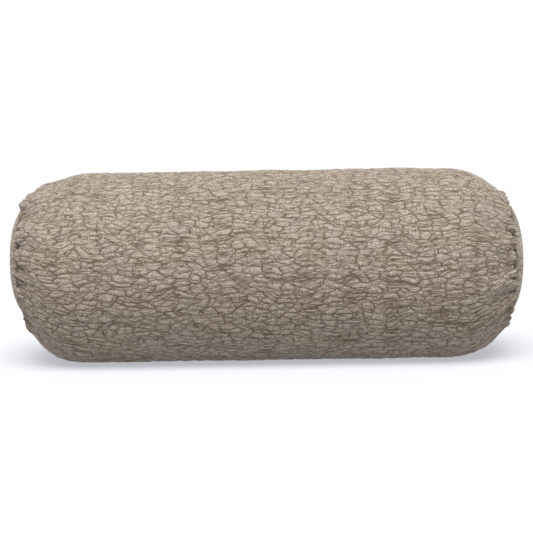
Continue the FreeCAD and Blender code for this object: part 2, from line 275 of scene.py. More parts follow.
def puckers(grid):
    """Each point's way off its ring: along the pillow, out from its axis and round it."""
    y, z = grid[..., 1], grid[..., 2] - AXIS_HEIGHT
    radius, angle = np.hypot(y, z), np.arctan2(z, y) - SEAM_RISE
    along = grid[..., 0] - grid[..., 0].mean(1)[:, None]
    out = radius - radius.mean(1)[:, None]
    turn = (angle - angles[None] + math.pi) % (2 * math.pi) - math.pi
    fade = (0.3 + 0.7 * np.exp(-((HALF_CLOTH - rings) / PUCKER_FADE) ** 1.5))[:, None]
    return along * fade * 0.6, PUCKER_LIMIT * np.tanh(out * fade / PUCKER_LIMIT), turn * fade


offsets = puckers(points_of(tube_end).reshape(len(rings), COLUMNS, 3))
bpy.data.objects.remove(tube_end)
print("puckers stand out by up to", round(float(offsets[1].max()) * 1000, 1), "mm")

# %% Space the rings evenly and give both ends their puckers
EVEN_RING = 3 * MM                    # between the cover's rings, as between its columns
LEFT_END_TURN = 87                    # columns that the left end's puckers are turned by
LUMP_WAVES = 7
even = np.linspace(-HALF_CLOTH, HALF_CLOTH, int(2 * HALF_CLOTH / EVEN_RING) + 1)
turn = np.linspace(0, 2 * math.pi, COLUMNS + 1)


def at_even_rings(values):
    """One set of offsets at every even ring, evened a little, with the seam's column at both edges."""
    values = (np.roll(values, 1, axis=1) + 2 * values + np.roll(values, -1, axis=1)) / 4
    read = np.stack([np.interp(np.abs(even), rings, column, left=0) for column in values.T], -1)
    read[even < 0] = np.roll(read[even < 0], LEFT_END_TURN, axis=1)
    return np.concatenate([read, read[:, :1]], axis=1)


def lumps(along, angle, shortest=60 * MM, longest=160 * MM):
    """Slow swells of the stuffing, from -1 to 1 or so, from a few waves with random places."""
    total = 0
    for _ in range(LUMP_WAVES):
        length, times_round = random.uniform(shortest, longest), random.integers(1, 5)
        total = total + np.sin(along / length * 6.28 + random.uniform(0, 6.28) + times_round * angle)
    return total / 3


print(len(even), "even rings of", len(turn), "points")

# %% The places of the cover's points
CLOTH_LEVEL = 1.1 * MM                # the middle of the crinkle lies this far inside the outline
LUMP = 0.7 * MM                       # height of the stuffing's slow swells
SLOT_WIDTH = 2 * MM                   # of the opening over the zip
SEAM_GROOVE = 1.2 * MM                # depth of the dip along the long seam
SEAM_ZONE = 10 * MM                   # beside the long seam, where the cloth lies smooth
FULLER_LEFT = 3 * MM                  # by which the stuffing swells the left shoulder more than the right


def rolled_over(along, tuft):
    """How the cloth swells past the end seam and turns in to it, along X, each tuft by its own height."""
    left = HALF_CLOTH - np.abs(along)
    swell = 3.2 * MM * np.exp(-((left - 7 * MM) / (4 * MM)) ** 2)
    swell = swell + 2.4 * MM * tuft * np.exp(-((left - 6 * MM) / (6 * MM)) ** 2)
    tuck = SEAM_DEPTH * np.exp(-(left / (3 * MM)) ** 2)
    return np.sign(along) * (swell - tuck)


def tufts_at(along):
    """The height of the gathered edge's tufts, at every point of the cover: each end has its own."""
    right = np.append(lift, lift[0])[None]
    left = np.roll(lift, LEFT_END_TURN)
    left = np.append(left, left[0])[None]
    return np.where(along < 0, left, right)


def cover_surface():
    """The x, radius and angle of every point of the cover's outside."""
    x, radius = (values[:, None] for values in outline(even))
    along_off, out_off, turn_off = (at_even_rings(values) for values in offsets)
    from_seam = np.minimum(turn, 2 * math.pi - turn)[None] * R
    smooth = np.clip((SLOT_HALF + 20 * MM - np.abs(even)) / (15 * MM), 0, 1)[:, None]
    smooth = smooth * np.exp(-(from_seam / SEAM_ZONE) ** 4)
    swell = LUMP * lumps(even[:, None], turn[None]) + out_off
    radius = radius - CLOTH_LEVEL + swell * (1 - smooth) + 0.6 * MM * smooth
    tuft = tufts_at(even[:, None])
    from_end = HALF_CLOTH - np.abs(even)[:, None]
    radius = radius + 1.6 * MM * tuft * np.exp(-((from_end - 5 * MM) / (8 * MM)) ** 2)
    fuller = np.exp(-((from_end - 30 * MM) / (24 * MM)) ** 2)
    radius = radius + np.where(even < 0, FULLER_LEFT, 0)[:, None] * fuller
    radius = radius - SEAM_GROOVE * np.exp(-(from_seam / (2.5 * MM)) ** 2)
    slot = np.clip((SLOT_HALF - np.abs(even)) / (3 * MM), 0, 1)[:, None] * (SLOT_WIDTH / 2) / R
    slot = slot * np.where(turn < math.pi, 1, -1) * np.exp(-(from_seam / SEAM_ZONE) ** 2)
    x = x + rolled_over(even[:, None], tuft) + along_off * np.sign(even)[:, None]
    return x, radius, turn[None] + turn_off + slot


x, radius, angle = cover_surface()
print("outside of the cover", x.shape, "points")

# %% [markdown]
# The cloth doesn't stop at its seams. Past each end seam a narrow allowance lies inside the tube,
# and along the back both edges are folded under, which gives the zip's opening its thick round
# lips. The same rows of points go on round these folds, so the cover stays one piece of cloth.

# %% Turn the edges in
FOLD = np.array([1.2, 4, 12]) * MM    # along the cloth from the fold at the long seam
FOLD_DROP = np.array([1.3, 2.2, 2.3]) * MM
TURNED_IN = np.linspace(2 * MM, SEAM_X - SEAM_DEPTH - RAW_EDGE_X, 3)


def with_folded_edges(x, radius, angle):
    """Adds the columns of cloth that are folded under on both sides of the long seam."""
    def folded(column, side):
        inner = radius[:, column, None] - FOLD_DROP[None]
        away = angle[:, column, None] + side * np.array([0.2, 3, 11]) * MM / R
        return np.repeat(x[:, column, None], 3, 1), inner, away
    start, end = folded(0, 1), folded(-1, -1)
    rows = zip(start, (x, radius, angle), end)
    return [np.concatenate([before[:, ::-1], whole, after], 1) for before, whole, after in rows]


def with_turned_in_ends(x, radius, angle):
    """Adds the rings of cloth that are turned in behind both end seams."""
    def turned_in(row, side):
        place = x[row][None] - side * TURNED_IN[:, None]
        flat = np.minimum(SEAM_R - 1 * MM, radius[row])
        return place, flat[None] + 0 * place, np.repeat(angle[row][None], 3, 0)
    start, end = turned_in(0, -1), turned_in(-1, 1)
    rows = zip(start, (x, radius, angle), end)
    return [np.concatenate([before[::-1], whole, after]) for before, whole, after in rows]


END_LIFT = {-1: 11 * MM, 1: 5 * MM}   # by which the left and right ends sit higher than the middle
LIFT_FROM = {-1: 240 * MM, 1: 255 * MM}      # along X, where each end starts to rise
LIFT_FULL = 295 * MM                  # along X, where both have risen


def lift_at(x):
    """How far the pillow's axis is raised at x: its weight presses the middle down, and not the ends."""
    start = np.where(x < 0, LIFT_FROM[-1], LIFT_FROM[1])
    share = np.clip((np.abs(x) - start) / (LIFT_FULL - start), 0, 1)
    return share * share * (3 - 2 * share) * np.where(x < 0, END_LIFT[-1], END_LIFT[1])


def settled(points, soft=4 * MM):
    """Raises the ends and presses the underside up from the plane that the pillow rests on."""
    z = points[..., 2] + lift_at(points[..., 0])
    points[..., 2] = (z + np.sqrt(z * z + soft * soft)) / 2
    return points


folded = with_turned_in_ends(*with_folded_edges(x, radius, angle))
cover = cloth_mesh("cover_body_cloth", settled(round_the_axis(*folded)), closed=False)
measure_along = np.concatenate([even[0] - TURNED_IN[::-1], even, even[-1] + TURNED_IN])
measure_around = np.concatenate([-FOLD[::-1], turn * R, AROUND + FOLD])
print("cover", len(cover.data.polygons), "faces")

# %% Lay the cloth's own measure on it
UV_CLOTH = "cloth"


def lay_measure(piece, along, around):
    """Gives each corner its place on the cut cloth, in metres, as a UV map."""
    corner = np.empty(len(piece.data.loops), np.int32)
    piece.data.loops.foreach_get("vertex_index", corner)
    layer = piece.data.uv_layers.new(name=UV_CLOTH)
    places = np.stack([along.ravel()[corner], around.ravel()[corner]], -1)
    layer.data.foreach_set("uv", places.astype(np.float32).ravel())


def set_share(piece, name, share):
    """Gives each point a number from 0 to 1, under this name."""
    layer = piece.data.attributes.new(name, "FLOAT", "POINT")
    layer.data.foreach_set("value", np.asarray(share, np.float32).ravel())


def cleaned(piece):
    """Joins the points that lie together and turns every face outwards."""
    select_only(piece)
    bpy.ops.object.mode_set(mode="EDIT")
    bpy.ops.mesh.select_all(action="SELECT")
    bpy.ops.mesh.remove_doubles(threshold=0.01 * MM)
    bpy.ops.mesh.normals_make_consistent(inside=False)
    bpy.ops.object.mode_set(mode="OBJECT")


lay_measure(cover, *np.meshgrid(measure_along, measure_around, indexing="ij"))
from_fold = np.minimum(measure_around, AROUND - measure_around)[None]
from_end = (HALF_CLOTH - np.abs(measure_along))[:, None]
open_cloth = np.clip((from_fold - 1.5 * MM) / (6 * MM), 0, 1) * np.clip(from_end / (3 * MM), 0, 1)
set_share(cover, "relief", open_cloth)
tuft = tufts_at(measure_along[:, None])
tuft = np.concatenate([tuft[:, :1].repeat(len(FOLD), 1), tuft, tuft[:, -1:].repeat(len(FOLD), 1)], 1)
# Painted shade: darker in the end seam's crease and in the dips between the tufts beside it, where shade
# falls.
painted_dip_shade = 0.75 * np.clip(-2 * tuft, 0, 1) ** 2 * np.exp(-(from_end / (11 * MM)) ** 2)
set_share(cover, "crease", np.maximum(np.clip(1 - from_end / (4.5 * MM), 0, 1), painted_dip_shade))
cleaned(cover)
apply_modifier(cover, "SUBSURF", levels=1, render_levels=1)
print("cover", len(cover.data.polygons), "faces after one subdivision")

# %% [markdown]
# ## The crinkled chenille
#
# The fabric is a soft chenille whose backing is shrunk after weaving, so the pile puckers into
# small flat tufts with a net of creases between them. The tufts are longer along the pillow than
# round it. The net is drawn with cell patterns on the cloth's own measure, bent by slow noise so
# that no cell is regular. One function draws it for both uses: as real relief on the mesh, and
# as colour in the creases, browner and darkened with painted shade, so the two always agree.

# %% A function that adds a node
def add(tree, kind, inputs=(), **settings):
    """Adds a node with its settings.

    inputs holds the sockets' values, in order or by name. A value is a constant, an output, or a node
    whose first output in use feeds the socket.
    """
    node = tree.nodes.new(kind)
    for name, value in settings.items():
        setattr(node, name, value)
    given = inputs if isinstance(inputs, dict) else dict(enumerate(inputs))
    for socket, value in given.items():
        if isinstance(value, bpy.types.Node):
            value = next(output for output in value.outputs if output.enabled)
        if isinstance(value, bpy.types.NodeSocket):
            tree.links.new(value, node.inputs[socket])
        else:
            node.inputs[socket].default_value = value
    return node


MATH = "ShaderNodeMath"
VECTOR = "ShaderNodeVectorMath"
NOISE = "ShaderNodeTexNoise"
RANGE = "ShaderNodeMapRange"          # its inputs are the value, from low, from high, to low, to high
SMOOTH = {"interpolation_type": "SMOOTHSTEP"}

# %% The net of creases
TUFT = (17 * MM, 6.9 * MM)            # along the pillow and round it
PLEAT = (8 * MM, 3.9 * MM)            # the smaller folds inside a tuft
STREAK = (48 * MM, 6 * MM)            # the long creases that cross many tufts


def patches(tree, place, size, detail=1.0):
    """Soft noise whose patches have this size along the pillow and round it."""
    stretched = add(tree, VECTOR, (place, (1 / size[0], 1 / size[1], 0)), operation="MULTIPLY")
    return add(tree, NOISE, {"Vector": stretched, "Scale": 1, "Detail": detail})


def pushed(tree, place, size, amount):
    """The place pushed about by noise of this size, by up to this amount."""
    push = patches(tree, place, size).outputs["Color"]
    push = add(tree, VECTOR, (push, (0.5, 0.5, 0.5)), operation="SUBTRACT")
    return add(tree, VECTOR, (push, (amount, amount, 0), place), operation="MULTIPLY_ADD")


def cell_edge(tree, place, size):
    """How far a place is from the nearest edge between cells of this size, in cells."""
    stretched = add(tree, VECTOR, (place, (1 / size[0], 1 / size[1], 0)), operation="MULTIPLY")
    inputs = {"Vector": stretched, "Scale": 1, "Randomness": 1}
    return add(tree, "ShaderNodeTexVoronoi", inputs, voronoi_dimensions="2D", feature="DISTANCE_TO_EDGE")


def crinkle(tree, place):
    """Two heights from 0 to 1: the round puff of the tufts, and the thin lines of their creases."""
    bent = pushed(tree, pushed(tree, place, (34 * MM, 34 * MM), 14 * MM), (9 * MM, 9 * MM), 4.2 * MM)
    tuft, pleat = cell_edge(tree, bent, TUFT), cell_edge(tree, bent, PLEAT)
    off_half = add(tree, MATH, (patches(tree, bent, STREAK), 0.5), operation="SUBTRACT")
    streak = add(tree, MATH, (off_half,), operation="ABSOLUTE")
    faint = add(tree, RANGE, (patches(tree, place, (19 * MM, 9 * MM)), 0.40, 0.62, 0, 0.8), **SMOOTH)
    fainter = add(tree, RANGE, (patches(tree, bent, (11 * MM, 8 * MM)), 0.38, 0.56, 0.1, 1), **SMOOTH)
    tuft_line = add(tree, RANGE, (tuft, 0, 0.09), **SMOOTH)
    tuft_line = add(tree, MATH, (tuft_line, faint), operation="MAXIMUM")
    pleat_line = add(tree, RANGE, (pleat, 0, 0.13, 0.25), **SMOOTH)
    pleat_line = add(tree, MATH, (pleat_line, fainter), operation="MAXIMUM")
    streak_line = add(tree, RANGE, (streak, 0, 0.03, 0.15), **SMOOTH)
    line = add(tree, MATH, (tuft_line, pleat_line), operation="MULTIPLY")
    line = add(tree, MATH, (line, streak_line), operation="MULTIPLY")
    tuft_puff = add(tree, RANGE, (tuft, 0, 0.30, 0.1), **SMOOTH)
    pleat_puff = add(tree, RANGE, (pleat, 0, 0.25, 0.6), **SMOOTH)
    streak_puff = add(tree, RANGE, (streak, 0, 0.07, 0.35), **SMOOTH)
    puff = add(tree, MATH, (tuft_puff, pleat_puff), operation="MULTIPLY")
    puff = add(tree, MATH, (puff, streak_puff), operation="MULTIPLY")
    return puff, line


for name, size in (("tufts", TUFT), ("pleats", PLEAT), ("streaks", STREAK)):
    print(name, [round(length * 1000, 1) for length in size], "mm")

# %% Raise the relief on the cover
RELIEF = 1.2 * MM                     # the height of a tuft's puff, to which its crease adds a quarter
PANEL_RELIEF = 0.4                    # of the cover's, because an end panel isn't gathered
CREASE_SHARE = 0.25
RELIEF_MIDDLE = 0.6                   # the level of the crinkle that stays where it is


def raise_relief(piece, height):
    """Moves the piece's points out by the crinkle, as far as its own relief attribute lets them."""
    tree = bpy.data.node_groups.new("crinkle relief", "GeometryNodeTree")
    tree.interface.new_socket("Geometry", in_out="INPUT", socket_type="NodeSocketGeometry")
    tree.interface.new_socket("Geometry", in_out="OUTPUT", socket_type="NodeSocketGeometry")
    shape = add(tree, "NodeGroupInput")
    place = add(tree, "GeometryNodeInputNamedAttribute", (UV_CLOTH,), data_type="FLOAT_VECTOR")
    share = add(tree, "GeometryNodeInputNamedAttribute", ("relief",), data_type="FLOAT")
    puff, line = crinkle(tree, place)
    level = add(tree, MATH, (line, CREASE_SHARE, puff), operation="MULTIPLY_ADD")
    level = add(tree, MATH, (level, RELIEF_MIDDLE), operation="SUBTRACT")
    level = add(tree, MATH, (level, share), operation="MULTIPLY")
    level = add(tree, MATH, (level, height), operation="MULTIPLY")
    normal = add(tree, "GeometryNodeInputNormal")
    offset = add(tree, VECTOR, {0: normal, "Scale": level}, operation="SCALE")
    moved = add(tree, "GeometryNodeSetPosition", {"Geometry": shape, "Offset": offset})
    add(tree, "NodeGroupOutput", (moved,))
    apply_modifier(piece, "NODES", node_group=tree)
    select_only(piece)
    bpy.ops.object.shade_smooth()


raise_relief(cover, RELIEF)
points = points_of(cover)
points[:, 2] = np.maximum(points[:, 2], 0.1 * MM)      # no tuft reaches through the floor
move_points(cover, points)
print("cover", len(cover.data.vertices), "points, from", points.min(0).round(4), "to", points.max(0).round(4))

# %% [markdown]
# ## The end panels
#
# Each end is closed by a plain round of the same cloth, sewn in to the gathered edge. The stuffing
# swells it past its seam, most steeply at the rim. A square of cloth is laid out as a disc, so that
# its threads still run straight, and its rim is turned in behind the seam.

# %% A square of cloth laid out as a disc
PANEL_CELLS = 84
SPREAD = 1.08                         # of the cloth's own measure over the flat disc's


def disc(side, rim_x, rim_radius, crown):
    """The points of a swollen disc on one side, and their places on the cloth."""
    line = np.linspace(-1, 1, PANEL_CELLS + 1)
    a, b = np.meshgrid(line, line, indexing="ij")
    across, up = a * np.sqrt(1 - b * b / 2), b * np.sqrt(1 - a * a / 2)
    swell = np.clip(1 - np.hypot(across, up) ** 3, 0, 1) ** 0.66
    x = side * (rim_x + crown * swell)
    grid = np.stack([x, across * rim_radius, up * rim_radius + AXIS_HEIGHT + lift_at(x)], -1)
    return grid[::side], across[::side] * rim_radius * SPREAD, up[::side] * rim_radius * SPREAD


def turn_in_rim(piece, side, depth):
    """Draws the disc's open rim inwards along the pillow."""
    select_only(piece)
    bpy.ops.object.mode_set(mode="EDIT")
    bpy.ops.mesh.select_mode(type="EDGE")
    bpy.ops.mesh.select_all(action="DESELECT")
    bpy.ops.mesh.select_non_manifold(
        use_wire=False, use_multi_face=False, use_non_contiguous=False, use_verts=False)
    bpy.ops.mesh.extrude_edges_move(TRANSFORM_OT_translate={"value": (-side * depth, 0, 0)})
    bpy.ops.object.mode_set(mode="OBJECT")


def end_panel(side, name):
    """One end panel, swollen past its seam, with its rim turned in."""
    crown = TIP_X - SEAM_X + SEAM_DEPTH - 1 * MM
    grid, along, around = disc(side, SEAM_X - SEAM_DEPTH, SEAM_R - 1 * MM, crown)
    piece = cloth_mesh(name, grid, closed=False)
    lay_measure(piece, along + side * 0.9, around)
    reach = np.hypot(along, around) / (SEAM_R * SPREAD)
    set_share(piece, "relief", np.clip((0.98 - reach) / 0.05, 0, 1))
    # Painted shade on the panel's rim, where it lies deep in the end seam's crease.
    set_share(piece, "crease", 0.85 * np.clip((reach - 0.87) / 0.06, 0, 1))
    turn_in_rim(piece, side, SEAM_X - SEAM_DEPTH - RAW_EDGE_X)
    apply_modifier(piece, "SUBSURF", levels=1, render_levels=1)
    raise_relief(piece, RELIEF * PANEL_RELIEF)
    return piece


SIDES = {"right": 1, "left": -1}
panels = {side: end_panel(sign, "cover_end_panel_" + side + "_cloth") for side, sign in SIDES.items()}
print("end panels", [len(p.data.polygons) for p in panels.values()], "faces each")

# %% [markdown]
# ## The inner pillow
#
# Inside the cover is a plain cotton casing, stuffed with loose fibre. It's a little larger than
# the cover when it's apart, so it fills the tube and is pressed in along the zip. Its ends are
# narrower, where they pass through the rings of turned-in cloth at the end seams. It can't be seen
# until the cover is taken off, so a light mesh with the slow swells of its stuffing is enough.

# %% The inner pillow's outline
CASING_INSET = 4.2 * MM               # from the cover's outline to the casing
PUCKER_ROOM = 5 * MM                  # more at the ends, under the cover's puckers
CHANNEL_DEPTH = 3.8 * MM              # of the hollow that the zip presses into it
CHANNEL_HALF = 17 * MM
STEP_X = RAW_EDGE_X - 2.2 * MM        # where it narrows to pass through the end seam


def casing_outline():
    """The x and radius of the inner pillow's side, from one of its end seams to the other."""
    along = np.linspace(0, HALF_CLOTH - 32 * MM, 60)
    x, radius = outline(along)
    radius = radius - CASING_INSET - PUCKER_ROOM * np.exp(-((HALF_CLOTH - along) / (40 * MM)) ** 2)
    shoulder = NECK_R + (radius[-1] - NECK_R) * np.array([0.8, 0.4, 0.1, 0])
    step = STEP_X - np.array([2, 0.6, 0.1, 0]) * MM
    x = np.concatenate([x, step, np.linspace(STEP_X + 2 * MM, SPLIT_X, 4)])
    radius = np.concatenate([radius, shoulder, np.full(4, NECK_R)]) - 0.3 * MM
    return np.concatenate([-x[:0:-1], x]), np.concatenate([radius[:0:-1], radius])


def round_piece(name, x, radius, swell, columns=144):
    """A closed tube through these rings, with slow swells and the hollow that the zip presses in."""
    angle = np.arange(columns) / columns * 2 * math.pi
    from_seam = np.minimum(angle, 2 * math.pi - angle)[None] * R
    hollow = np.clip((SLOT_HALF + 12 * MM - np.abs(x)) / (8 * MM), 0, 1)[:, None]
    hollow = hollow * CHANNEL_DEPTH * np.exp(-(from_seam / CHANNEL_HALF) ** 4)
    thin = np.clip(radius / NECK_R - 1, 0, 1)[:, None]
    waves = swell * thin * lumps(x[:, None], angle[None], 30 * MM, 80 * MM)
    grid = round_the_axis(x[:, None], radius[:, None] - hollow + waves - swell * thin, angle[None])
    piece = cloth_mesh(name, settled(grid, 5 * MM) + np.array([0, 0, 0.6 * MM]), closed=True)
    lay_measure(piece, *np.broadcast_arrays(x[:, None], angle[None] * R))
    return piece


casing_x, casing_r = casing_outline()
casing = round_piece("insert_casing_body_cloth", casing_x, casing_r, 0.6 * MM)


def casing_end(side, name):
    """The round of cotton that closes one end of the inner pillow."""
    grid, along, around = disc(side, SPLIT_X, NECK_R - 0.3 * MM, casing_end_high.x - SPLIT_X - 1.2 * MM)
    piece = cloth_mesh(name, grid, closed=False)
    lay_measure(piece, along, around)
    return piece


casing_ends = {side: casing_end(sign, "insert_casing_end_" + side + "_cloth") for side, sign in SIDES.items()}
crown = np.linspace(0, math.pi / 2, 14)[1:]
crown_x = casing_x[-1] + 16 * MM * np.sin(crown)
crown_r = casing_r[-1] * np.cos(crown)
fill_x = np.concatenate([-crown_x[::-1], casing_x, crown_x])
fill_r = np.concatenate([crown_r[::-1], casing_r, crown_r])
fill = round_piece("fibre_fill_wadding", fill_x, np.maximum(fill_r - 3 * MM, 0.2 * MM), 1.2 * MM, 96)
for piece in [casing, fill, *casing_ends.values()]:
    apply_modifier(piece, "SUBSURF", levels=1, render_levels=1)
    bpy.ops.object.shade_smooth()
print("inner pillow", [len(p.data.polygons) for p in (casing, fill, *casing_ends.values())], "faces")

# %% [markdown]
# ## Threads at the ends
#
# Behind each end seam lie two gathering threads, the line of the seam itself and the overlocked
# raw edges. The inner pillow's ends are sewn in the same way. Each is a ring, and a torus is the
# shape that a hand would start from.

# %% Rings of thread
THREAD = 0.35 * MM                    # radius of a thread
SEAM_FLOOR = SEAM_X - SEAM_DEPTH      # where the end seam's crease is deepest


def thread_rings(side, name, rings):
    """One piece made of rings round the axis, each with its place along X, its radius and its thickness."""
    parts = []
    for place, radius, thick in rings:
        x = side * place
        bpy.ops.mesh.primitive_torus_add(
            major_segments=180, minor_segments=8, major_radius=radius, minor_radius=thick,
            location=(x, 0, AXIS_HEIGHT + float(lift_at(np.array(x)))), rotation=(0, math.pi / 2, 0))
        parts.append(bpy.context.active_object)
    bpy.ops.object.select_all(action="DESELECT")
    for part in parts:
        part.select_set(True)
    if len(parts) > 1:
        bpy.ops.object.join()
    bpy.ops.object.transform_apply(location=True, rotation=True, scale=True)
    bpy.ops.object.shade_smooth()
    piece = bpy.context.active_object
    piece.name = name
    return piece


GATHER_R = SEAM_R - 0.4 * MM
RINGS = {
    "gather_thread": [(SEAM_FLOOR - 1.5 * MM, GATHER_R, THREAD), (SEAM_FLOOR - 4.5 * MM, GATHER_R, THREAD)],
    "end_seam_thread": [(SEAM_FLOOR - 1 * MM, SEAM_R - 1.6 * MM, THREAD)],
    "overlock_thread": [(RAW_EDGE_X - 0.2 * MM, SEAM_R - 1.6 * MM, 1.3 * MM)],
    "insert_seam_thread": [(SPLIT_X, NECK_R - 0.2 * MM, 0.3 * MM)],
}
thread_pieces = {}
for side, sign in SIDES.items():
    for seam, rings_here in RINGS.items():
        node = seam + "_" + side
        thread_pieces[node] = thread_rings(sign, node + "_sewn", rings_here)
print(len(thread_pieces), "pieces of thread at the ends")

# %% [markdown]
# ## The zip
#
# The two tapes are narrow woven strips sewn under the folded edges of the cloth. Each is a strip
# of points bent round the tube, with a real thickness. The slider and its pull are cast and have
# no sharp edge anywhere, so they're copied from the CAD part and their edges are rounded.

# %% The tapes
tape_low, tape_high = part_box("zip_tape_upper")
TAPE_UNDER_COVER = 3.6 * MM           # from the tube's outside to the middle of the tape
TAPE_THICKNESS = 0.6 * MM
TAPE_EDGES = (0.7 * MM, 14 * MM)      # from the zip's middle line


def tape(side, name):
    """One tape, above or below the zip's middle line."""
    along = np.linspace(tape_low.x, tape_high.x, 160)[:, None]
    out = np.linspace(*TAPE_EDGES, 12)[None]
    flat = 0 * along + 0 * out
    grid = round_the_axis(along + flat, R - TAPE_UNDER_COVER + flat, side * out / R + flat)
    piece = cloth_mesh(name, grid[::side], closed=False)
    lay_measure(piece, *np.broadcast_arrays(along[::side], side * out))
    apply_modifier(piece, "SOLIDIFY", thickness=TAPE_THICKNESS, offset=0)
    apply_modifier(piece, "BEVEL", width=0.12 * MM, segments=2, angle_limit=math.radians(40))
    bpy.ops.object.shade_smooth_by_angle(angle=math.radians(50))
    return piece


tapes = {"upper": tape(1, "zip_tape_upper_woven"), "lower": tape(-1, "zip_tape_lower_woven")}


# %% Round the edges of the cast slider and pull
def rounded_copy(node, name, width):
    """A copy of a CAD piece with its points joined, its flat faces whole and its edges rounded."""
    source = frame["nodes"][node]
    piece = bpy.data.objects.new(name, source.data.copy())
    scene.collection.objects.link(piece)
    piece.data.transform(source.matrix_world)
    cleaned(piece)
    apply_modifier(piece, "DECIMATE", decimate_type="DISSOLVE", angle_limit=math.radians(1))
    apply_modifier(piece, "BEVEL", width=width, segments=3, angle_limit=math.radians(35))
    bpy.ops.object.shade_smooth_by_angle(angle=math.radians(40))
    return piece


slider = rounded_copy("zip_slider", "zip_slider_cast", 0.25 * MM)
pull = rounded_copy("zip_pull", "zip_pull_cast", 0.2 * MM)
print("slider", len(slider.data.polygons), "faces, pull", len(pull.data.polygons), "faces")


# %% [markdown]
# ## Materials
#
# Each real material gets one shader. The cloths are drawn on their own measure in metres, so a
# yarn is as thick on the cover as on an end panel. The rest reads the object's own coordinates,
# which are metres too. Cloth keeps a low specular level, because its fibres scatter light, and
# shows a pale sheen where it's seen at a low angle.


# %% Colours and shaders
def linear(code):
    """An sRGB hex colour as the linear numbers that Blender mixes."""
    parts = [int(code[i:i + 2], 16) / 255 for i in (1, 3, 5)]
    return tuple(c / 12.92 if c <= 0.04045 else ((c + 0.055) / 1.055) ** 2.4 for c in parts) + (1.0,)


def new_material(name):
    """An empty material, and the tree that its nodes go into."""
    material = bpy.data.materials.new(name)
    material.use_nodes = True
    material.node_tree.nodes.clear()
    return material, material.node_tree


MIX = "ShaderNodeMix"                 # its colours are inputs 6, where the factor is 0, and 7, where it is 1
COLOURS = {"data_type": "RGBA"}


def finished(tree, colour, height, depth, **sockets):
    """The shader itself, with this colour and with bumps of this depth."""
    bump = add(tree, "ShaderNodeBump", {"Height": height, "Strength": 0.7, "Distance": depth})
    inputs = {name.replace("_", " "): value for name, value in sockets.items()}
    shader = add(tree, "ShaderNodeBsdfPrincipled", {"Base Color": colour, "Normal": bump, **inputs})
    add(tree, "ShaderNodeOutputMaterial", {"Surface": shader})


def ribs(tree, place, direction, pitch):
    """Round ridges this far apart across a direction, from 0 in the gap to 1 on top."""
    reach = add(tree, VECTOR, (place, direction), operation="DOT_PRODUCT").outputs["Value"]
    turn = add(tree, MATH, (reach, math.pi / pitch), operation="MULTIPLY")
    wave = add(tree, MATH, (turn,), operation="SINE")
    return add(tree, MATH, (wave,), operation="ABSOLUTE")


# %% Crinkle chenille, for the cover and its end panels
YARN = (3.4 * MM, 2.9 * MM)           # between the thick chenille yarns, along and round the pillow


def crinkle_chenille():
    """Taupe pile with paler tips, browner in the creases; painted shade darkens the creases and the end
    seams.
    """
    material, tree = new_material("crinkle chenille")
    place = add(tree, "ShaderNodeUVMap", uv_map=UV_CLOTH)
    puff, line = crinkle(tree, place)

    # The thick yarns show as broken pale bars, and single fibres as specks.
    wavy = pushed(tree, place, (9 * MM, 9 * MM), 3 * MM)
    warp = add(tree, MATH, (ribs(tree, wavy, (1, 0, 0), YARN[0]), 3), operation="POWER")
    warp_shown = add(tree, RANGE, (patches(tree, place, (2 * MM, 9 * MM)), 0.4, 0.65), **SMOOTH)
    warp = add(tree, MATH, (warp, warp_shown), operation="MULTIPLY")
    weft = add(tree, MATH, (ribs(tree, wavy, (0, 1, 0), YARN[1]), 3), operation="POWER")
    weft_shown = add(tree, RANGE, (patches(tree, place, (9 * MM, 2 * MM)), 0.4, 0.65), **SMOOTH)
    weft = add(tree, MATH, (weft, weft_shown), operation="MULTIPLY")
    yarn = add(tree, MATH, (warp, weft), operation="MAXIMUM")
    fibre = add(tree, RANGE, (patches(tree, place, (2.2 * MM, 1.4 * MM), 0), 0.38, 0.62), **SMOOTH)
    fibre = add(tree, MATH, (fibre, 0.55), operation="MULTIPLY")
    tips = add(tree, MATH, (yarn, 0.45, fibre), operation="MULTIPLY_ADD")

    # Brushed patches of pile, the tips, the low pile round a tuft, the creases, and painted shade in the
    # seam's crease.
    brushed = add(tree, RANGE, (patches(tree, place, (70 * MM, 34 * MM), 3), 0.35, 0.65), **SMOOTH)
    pile = add(tree, MIX, {0: brushed, 6: linear("#837362"), 7: linear("#82776c")}, **COLOURS)
    pile = add(tree, MIX, {0: tips, 6: pile, 7: linear("#a9a196")}, **COLOURS)
    # The low pile round a tuft is browner in its own colour and darker with painted shade.
    low_pile_and_shade = add(tree, MIX, {0: puff, 6: linear("#6c5e50"), 7: pile}, **COLOURS)
    pile = add(tree, MIX, {0: 0.5, 6: pile, 7: low_pile_and_shade}, **COLOURS)
    # The creases' lines are browner cloth, made darker with painted shade.
    colour = add(tree, MIX, {0: line, 6: linear("#54463a"), 7: pile}, **COLOURS)
    # Painted shade: the end seams' creases and the dips between their tufts are darkened towards #342b24.
    crease = add(tree, "ShaderNodeAttribute", attribute_name="crease").outputs["Fac"]
    colour = add(tree, MIX, {0: crease, 6: colour, 7: linear("#342b24")}, **COLOURS)

    height = add(tree, MATH, (tips, 0.4, line), operation="MULTIPLY_ADD")
    finished(tree, colour, height, 0.5 * MM, Roughness=0.95, Specular_IOR_Level=0.12, Sheen_Weight=0.3,
             Sheen_Roughness=0.45, Sheen_Tint=linear("#f1ebe2"))
    return material


chenille = crinkle_chenille()
print(chenille.name, "has", len(chenille.node_tree.nodes), "nodes")

# %% Cotton, for the inner pillow's casing
COTTON_YARN = 0.7 * MM                # about twice the real spacing, so that the weave shows


